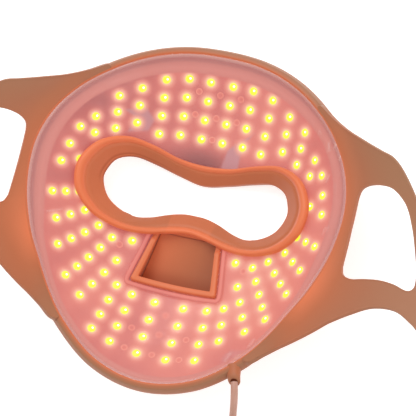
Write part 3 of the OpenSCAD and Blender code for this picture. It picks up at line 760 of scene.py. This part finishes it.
# Polyimide over copper: amber film with darker tracks about 3 mm apart
polyimide, tree, spot = start_material("polyimide_flexible_circuit")
tracks = put(tree, "ShaderNodeTexWave", {"Vector": spot, "Scale": 52.0, "Distortion": 1.5},
             bands_direction="X")
shade = put(tree, "ShaderNodeValToRGB", {"Fac": tracks.outputs["Fac"]},
            stops=[(0.45, rgb("#d9a878")), (0.55, rgb("#c08a5c"))])
end_material(tree, {"Base Color": shade.outputs[0], "Roughness": 0.3})
for node, material in coats + [("flex_circuit", polyimide)]:
    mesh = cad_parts[node].data
    mesh.materials.clear()
    mesh.materials.append(material)

# Strips of lights on the right half: [count, first place, last place]
brow = [[4, [7.5, 81], [7, 44]], [4, [21.5, 81], [21, 44]], [4, [36, 78], [34.5, 42]],
        [3, [50.5, 70], [50, 46.5]], [3, [64.5, 62.5], [63, 40]]]
temple = [[2, [77.5, 45.5], [76, 34]], [1, [86.5, 36], [86.5, 36]], [1, [91, 22], [91, 22]],
          [2, [94, 8], [82, 13]]]
cheek = [[3, [94.5, -16], [77, -9.5]], [3, [87, -34], [70, -21]], [4, [80.5, -51.5], [58.5, -28]],
         [5, [69, -70], [48, -33]], [4, [56, -79], [41, -47]], [1, [35, -31], [35, -31]]]
chin = [[4, [41.5, -98], [36, -63]], [4, [28, -102], [25, -66]], [4, [9.5, -104.5], [9.5, -67]]]


def lights_of(strips):
    """Even places along each strip."""
    return np.concatenate([np.linspace(first, last, count) for count, first, last in strips]).astype(float)


mirror = np.array([-1.0, 1.0])
brow_right = lights_of(brow)
chin_right = lights_of(chin)
light_groups = {
    "forehead_leds": np.concatenate([brow_right, brow_right * mirror]),
    "left_temple_leds": lights_of(temple) * mirror, "right_temple_leds": lights_of(temple),
    "left_cheek_leds": lights_of(cheek) * mirror, "right_cheek_leds": lights_of(cheek),
    "chin_leds": np.concatenate([chin_right[1:], chin_right * mirror])}
all_lights = np.concatenate(list(light_groups.values()))

# Lit parts: yellow phosphor under a gel dome, flat and saturated, and the chip itself, too bright to
# have a colour: [finish, noise scale, dimmer place and colour, brighter colour, unlit colour, strength]
lit_parts = [
    ("lit_yellow_phosphor", 700.0, 0.35, "#fffb2e", "#ffff44", "#403c08", 1.1),
    ("lit_white_chip", 900.0, 0.3, "#fffff0", "#ffffff", "#808070", 1.6)]
lit_finishes = []
for finish, scale, dimmer_at, dimmer, brighter, unlit, strength in lit_parts:
    material, tree, spot = start_material(finish)
    flicker = put(tree, "ShaderNodeTexNoise", {"Vector": spot, "Scale": scale})
    shade = put(tree, "ShaderNodeValToRGB", {"Fac": flicker.outputs["Fac"]},
                stops=[(dimmer_at, rgb(dimmer)), (0.7, rgb(brighter))])
    end_material(tree, {"Base Color": rgb(unlit), "Roughness": 0.3, "Emission Color": shade.outputs[0],
                        "Emission Strength": strength})
    lit_finishes.append(material)
phosphor, chip = lit_finishes

led_base = -0.2


def dome(profile, sides, at=(0.0, 0.0)):
    """A round shape from its [radius, height] points, one grid row a ring."""
    flat = profile[:, :1, None] * ring_of(sides)[None] + at
    return np.concatenate([flat, np.broadcast_to(profile[:, 1:, None], flat.shape[:2] + (1,))], -1)


# A gel cap that the pad's lower face closes round, with the chip showing through its top
cap = dome(np.array([[2.5, 0], [2.5, 1.35], [2.3, 1.58], [1.7, 1.8], [0.9, 1.93], [0.1, 1.97]]), 18)
chip_top = dome(np.array([[0.8, 1.7], [0.72, 1.98], [0.4, 2.14], [0.05, 2.18]]), 10, (0.55, 0.45))
for node, places in light_groups.items():
    domes = add_skin(f"{node}_domes", stamp(cap, places, led_base), phosphor, ends=True)
    spots = add_skin(f"{node}_chips", stamp(chip_top, places, led_base), chip, ends=True)
    for piece in (domes, spots):
        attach(piece, "mask")
    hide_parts(node)

# ---------------------------------------------------------------------------
# Pad: clear silicone gel over the lights, cast with a thin lip round its edge, a bead round the
# nose pocket and pegs on its back. Its lower face is milky, and its pink glow from the lights is
# painted, as emission.

pad_window = whole([
    [0, 22], [20, 25], [38, 30], [54, 31], [66, 25.5], [73, 16], [75, 5],
    [70, -8], [58, -17.5], [42, -21.5], [22.2, -23.2], [24.6, -42], [26, -54.5], [0, -55.4]])
pad_fine = 22
pad_outer = smooth_line(pad_edge, pad_fine, closed=True)
pad_out = outward(pad_outer)
pad_inner = smooth_line(pad_window, pad_fine, closed=True)


def ripples(uv):
    """Slow waves in a cast face: the product of two sines whose phases wander with the other direction."""
    u, v = uv[..., 0], uv[..., 1]
    return np.sin(u / 9.5 + 1.4 * np.sin(v / 14)) * np.sin(v / 8.5 + 1.2 * np.sin(u / 17))


def pad_face(lip, count):
    """Grid of places on the pad, from its opening to its edge, with the lip's own places at the end."""
    inset = (pad_outer - lip[0] * pad_out)[:, None]
    share = np.linspace(0, 1, count)[None, :-1, None]
    field = pad_inner[:, None] + (inset - pad_inner[:, None]) * share
    border = pad_outer[:, None] - pad_out[:, None] * np.asarray(lip)[None, :, None]
    return np.concatenate([field, border], 1)


# Distances in from the pad's edge where its lip and the steps inside it turn, and their heights
lip_in = [13.5, 12.5, 11.5, 8.0, 7.2, 6.4, 5.6, 3.4, 2.8, 2.2, 1.6, 0.8, 0.2, -0.25, -0.5]
lip_h = [3.2, 3.22, 3.3, 3.3, 3.22, 3.1, 3.06, 3.08, 3.2, 3.5, 3.75, 3.95, 4.05, 4.03, 3.88]
top_uv = pad_face(lip_in, 44)
top_h = np.full(top_uv.shape[:2], pad_hi)
top_h[:, -len(lip_in):] = lip_h
ripple_h = 0.07
top_h[:, :-len(lip_in)] += ripple_h * ripples(top_uv[:, :-len(lip_in)])
# Wrinkles where the clear layer has lifted: short waves inside soft ellipses
for at_u, at_v, wide, high, turn, length, depth in (
        (84, 62, 8, 6, 0.6, 5.0, 0.22), (98, 56, 6, 8, -0.4, 4.4, 0.25), (99, 34, 5, 8, 0.9, 4.6, 0.22),
        (101, -4, 4, 8, 0.3, 4.6, 0.2), (57, -98, 11, 5, 0.5, 4.5, 0.3), (-92, -30, 6, 5, 0.9, 4.5, 0.2)):
    du, dv = top_uv[..., 0] - at_u, top_uv[..., 1] - at_v
    wave = np.sin((du * math.cos(turn) + dv * math.sin(turn)) * 2 * math.pi / length)
    top_h += depth * wave * np.exp(-((du / wide) ** 2) - (dv / high) ** 2)
glow_reach = 6.0
low_in = [12.0, 10.0, 8.0, 6.0, 4.5, 3.0, 1.5, 0.7, 0.0]
low_uv = pad_face(low_in, 46)
low_h = np.full(low_uv.shape[:2], pad_lo)


def light_glow(uv):
    """Glow of all the lights: the sum of exp(-(distance / glow_reach)^2), a few thousand places at a time."""
    flat = uv.reshape(-1, 2)
    glow = [np.exp(-(((part[:, None] - all_lights[None]) ** 2).sum(-1) / glow_reach ** 2)).sum(1)
            for part in np.array_split(flat, max(1, len(flat) // 4000))]
    return np.concatenate(glow).reshape(uv.shape[:-1])


# Milky gel, which scatters the lights: its pink glow is painted as emission, with pale painted halos round
# each light and mauve away from them
milky, tree, spot = start_material("milky_silicone_gel")
near, glow, rim, haze, shadow = (put(tree, "ShaderNodeAttribute", attribute_name=kept).outputs["Fac"]
                                 for kept in ("near", "glow", "rim", "haze", "shadow"))
cloud = put(tree, "ShaderNodeTexNoise", {"Vector": spot, "Scale": 26.0, "Detail": 3.0})
uneven = put(tree, "ShaderNodeMath", {0: cloud.outputs["Fac"], 1: 0.7, 2: -0.35}, operation="MULTIPLY_ADD")
level = put(tree, "ShaderNodeMath", {0: glow, 1: uneven.outputs[0]}, operation="ADD",
            use_clamp=True)
field = put(tree, "ShaderNodeValToRGB", {"Fac": level.outputs[0]},
            stops=[(0.0, rgb("#7c2f38")), (1.0, rgb("#ee9a85")), (0.25, rgb("#b04e4b")),
                   (0.5, rgb("#cd655c")), (0.8, rgb("#e27c6b"))])
near_12 = put(tree, "ShaderNodeMath", {0: near, 1: 12.0}, operation="DIVIDE", use_clamp=True)
halo = put(tree, "ShaderNodeValToRGB", {"Fac": near_12.outputs[0]},
           stops=[(0.19, rgb("#fff850")), (0.38, rgb("#f0a18c")), (0.212, rgb("#f9f07c")),
                  (0.24, rgb("#f9da95")), (0.285, rgb("#f8c09a"))])
fading = put(tree, "ShaderNodeMapRange", {"Value": near, "From Min": 2.7, "From Max": 7.2,
                                          "To Min": 1.0, "To Max": 0.0}, interpolation_type="SMOOTHSTEP")
hazy = put(tree, "ShaderNodeMix", {"Factor": haze, "A": field.outputs[0],
                                   "B": rgb("#b0838c")}, data_type="RGBA")
lit = put(tree, "ShaderNodeMix", {"Factor": fading.outputs[0], "A": hazy.outputs["Result"],
                                  "B": halo.outputs[0]}, data_type="RGBA")
# Painted glow in bands by distance from the pad's edge
border = put(tree, "ShaderNodeValToRGB", {"Fac": rim},
             stops=[(0.0, rgb("#cc988e")), (1.0, rgb("#cc796e")), (0.06, rgb("#bc8278")),
                    (0.13, rgb("#a4625f")), (0.24, rgb("#a8645f")), (0.32, rgb("#c07268")),
                    (0.5, rgb("#cc7b70")), (0.66, rgb("#c8746a"))])
inside = put(tree, "ShaderNodeMapRange", {"Value": rim, "From Min": 0.66, "From Max": 0.72})
shaded = put(tree, "ShaderNodeMix", {"Factor": inside.outputs[0], "A": border.outputs[0],
                                     "B": lit.outputs["Result"]}, data_type="RGBA")
seen = put(tree, "ShaderNodeMix", {"Factor": shadow, "A": shaded.outputs["Result"],
                                   "B": rgb("#5e1a26")}, data_type="RGBA")
end_material(tree, {"Base Color": rgb("#6e4644"), "Roughness": 0.6,
                    "Emission Color": seen.outputs["Result"], "Emission Strength": 0.85})

# A thin layer: its back is the same grid, lower by its thickness, in reverse
milky_t = 0.35
low_uv = np.concatenate([low_uv, low_uv[:, ::-1]], 1)
milk_h = np.concatenate([low_h, low_h - milky_t], 1)
milk = add_skin("pad_milky_face", on_sheet(low_uv, milk_h), milky, loop_rows=True)
paint(milk, "near", gap_to(all_lights, low_uv))
low_u, low_v = low_uv[..., 0], low_uv[..., 1]


def patch(at_u, at_v, wide, high):
    """A soft round patch on the lower face: exp(-(across / wide)^2 - (up / high)^2)."""
    return np.exp(-(((low_u - at_u) / wide) ** 2) - ((low_v - at_v) / high) ** 2)


# The painted glow is stronger on the right and at the cheeks, and weaker at the upper left
slow = 0.3 + 0.2 * ease(low_u, -60, 80) + 0.12 * ease(-low_v, -20, 40)
slow = slow - 0.1 * patch(-45, 60, 40, 20) - 0.1 * patch(-60, -30, 14, 12)
paint(milk, "glow", np.clip(light_glow(low_uv) * 0.42 + slow, 0, 1))
paint(milk, "rim", np.clip(gap_to(pad_outer, low_uv) / 18 * (1 + 0.8 * ease(-low_v, 20, 90)), 0, 1))


def soft_inside(corners, soft):
    """1 inside a polygon and 0 outside, over a soft edge: a winding number by angles, and the distance
    to its outline."""
    corners = np.array(corners, float)
    line = spaced(np.concatenate([corners, corners[:1]]), 120)
    gap = gap_to(line, low_uv)
    to = line[None] - low_uv.reshape(-1, 1, 2)
    turn = np.diff(np.unwrap(np.arctan2(to[..., 1], to[..., 0]), axis=1), axis=1).sum(1)
    inner = (np.abs(turn) > math.pi).reshape(gap.shape)
    return np.where(inner, ease(gap, 0, soft), 0)


# Places where the clear layer doesn't wet the milky one, so that a pale film shows
film_1 = soft_inside([[-62, 54], [-46, 59], [-38, 51], [-41, 42], [-56, 38], [-53.5, 50]], 2.0)
film_2 = soft_inside([[30, 58], [24, 48], [21.5, 38], [21.5, 27], [8, 26], [11, 41.5], [21, 50]], 1.6)
film_3 = soft_inside([[45, -104.5], [45, -97], [50, -91.5], [60, -92], [69, -98], [55, -106]], 2.5)
paint(milk, "haze", np.clip(0.75 * film_1 + 0.85 * film_2 + 0.3 * film_3, 0, 1))
# Shade above the bridge, and in the groove along the nose walls
nose_line = spaced(np.concatenate([nose_outer, nose_outer[:1]]), 240)
groove = np.exp(-((gap_to(nose_line, low_uv) / 1.6) ** 2)) * (low_v < -20)
paint(milk, "shadow", np.clip(0.95 * patch(-3, 29, 22, 9) * (1 - 0.8 * film_2) + 0.55 * groove, 0, 1))

# Clear gel: a thin milky veil with a wet gloss, more opaque at its lip and at painted glints
clear, tree, spot = start_material("clear_silicone_gel")
cloud = put(tree, "ShaderNodeTexNoise", {"Vector": spot, "Scale": 45.0, "Detail": 3.0})
veil = put(tree, "ShaderNodeMapRange", {"Value": cloud.outputs["Fac"], "To Min": 0.04, "To Max": 0.075})
grain = put(tree, "ShaderNodeTexNoise", {"Vector": spot, "Scale": 160.0, "Detail": 2.0})
bump = put(tree, "ShaderNodeBump", {"Height": grain.outputs["Fac"], "Strength": 0.05, "Distance": 0.0005})
lip = put(tree, "ShaderNodeAttribute", attribute_name="lip")
cover = put(tree, "ShaderNodeMath", {0: lip.outputs["Fac"], 1: 0.28, 2: veil.outputs[0]},
            operation="MULTIPLY_ADD")
end_material(tree, {"Base Color": rgb("#e6b8b0"), "Roughness": 0.14, "IOR": 1.41, "Alpha": cover.outputs[0],
                    "Normal": bump.outputs[0], "Coat Weight": 1.0, "Coat Roughness": 0.08})
# Closed underneath by a face just over the milky one
layer_gap = 0.06
back = low_uv[:, low_uv.shape[1] // 2:]
clear_uv = np.concatenate([top_uv, back], 1)
clear_h = np.concatenate([top_h, np.full(back.shape[:2], pad_lo + layer_gap)], 1)
pad = add_skin("pad_clear_face", on_sheet(clear_uv, clear_h), clear, loop_rows=True)
top_gap = np.full(clear_h.shape, 20.0)
top_gap[:, top_uv.shape[1] - len(lip_in):top_uv.shape[1]] = lip_in
# Painted glints where the clear layer has wrinkled: [start, end] of each short stroke
strokes = np.array([
    [[79, 66], [84, 60]], [[89, 60], [91, 55]], [[97, 61], [95, 57]], [[104, 54], [101, 50]],
    [[95, 37], [94, 32]], [[102, 31], [103, 26]], [[50, -102], [54, -95]], [[57, -101], [61, -96]],
    [[64, -92], [67, -87]], [[102, -2], [101, -7]], [[-95, -33], [-86, -27]]], float)
stroke_points = strokes[:, :1] + (strokes[:, 1:] - strokes[:, :1]) * np.linspace(0, 1, 12)[None, :, None]
glint = np.exp(-((gap_to(stroke_points.reshape(-1, 2), clear_uv) / 0.8) ** 2))
glint[:, top_uv.shape[1]:] = 0
# Opacity of the clear face: raised along the lip, and at the painted glints
paint(pad, "lip", 1 - ease(top_gap, 1.2, 2.6) + 1.2 * glint)

# A low bead of the same gel round the nose pocket, half an ellipse across
half_bead = np.array([[25.6, -22], [27.4, -33], [29.8, -46], [31.3, -55.4], [30.7, -58.8],
                      [27.5, -59.5], [14, -59.6], [0, -59.6]])
bead_path = smooth_line(np.concatenate([half_bead, half_bead[-2::-1] * mirror]), 10)
bead_ahead = slopes(bead_path)
bead_side = np.stack([-bead_ahead[:, 1], bead_ahead[:, 0]], -1)[:, None]
turn = np.linspace(0, math.pi, 9)
bead_uv = bead_path[:, None] + bead_side * (1.5 * np.cos(turn))[None, :, None]
bead_h = np.broadcast_to(2.95 + 0.85 * np.sin(turn), bead_uv.shape[:2])
nose_bead = add_skin("nose_bead", on_sheet(bead_uv, bead_h), milky, ends=True)
paint(nose_bead, "near", np.full(bead_h.shape, 12.0))
# Painted glow, brightest along the bead's top and darker at its sides
paint(nose_bead, "glow", 0.3 + 0.38 * np.broadcast_to(np.sin(turn), bead_h.shape))
paint(nose_bead, "rim", np.ones(bead_h.shape))

# Pegs that hold the circuit in place, each with a thin raised ring where it meets the face
side_pegs = np.array([[14, 74], [14, 59], [42, -36], [18, -88], [18, -103]], float)
middle_pegs = np.array([[0, 74], [0, 59], [0, 45], [0, -74], [0, -88], [0, -103]], float)
peg_places = np.concatenate([middle_pegs, side_pegs, side_pegs * mirror])
peg = dome(np.array([[1.1, 0], [1.1, 1.3], [1.9, 1.44], [2.1, 1.56], [1.85, 1.62], [1.5, 1.54],
                     [0.1, 1.5]]), 16)
peg_grid = stamp(peg, peg_places, led_base)
pegs = add_skin("peg_rings", peg_grid, milky, ends=True)
peg_points = peg_grid.shape[:3]
paint(pegs, "near", np.full(peg_points, 12.0))
# Painted glow, brightest on the raised ring, a little less on the top, and none on the shaft
paint(pegs, "glow", np.broadcast_to(np.array([0, 0, 1, 1, 1, 0.75, 0.65])[:, None], peg_points))
paint(pegs, "rim", np.ones(peg_points))
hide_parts("pad_pegs")
for piece in (milk, pad, nose_bead, pegs):
    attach(piece, "mask")
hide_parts("face_pad")
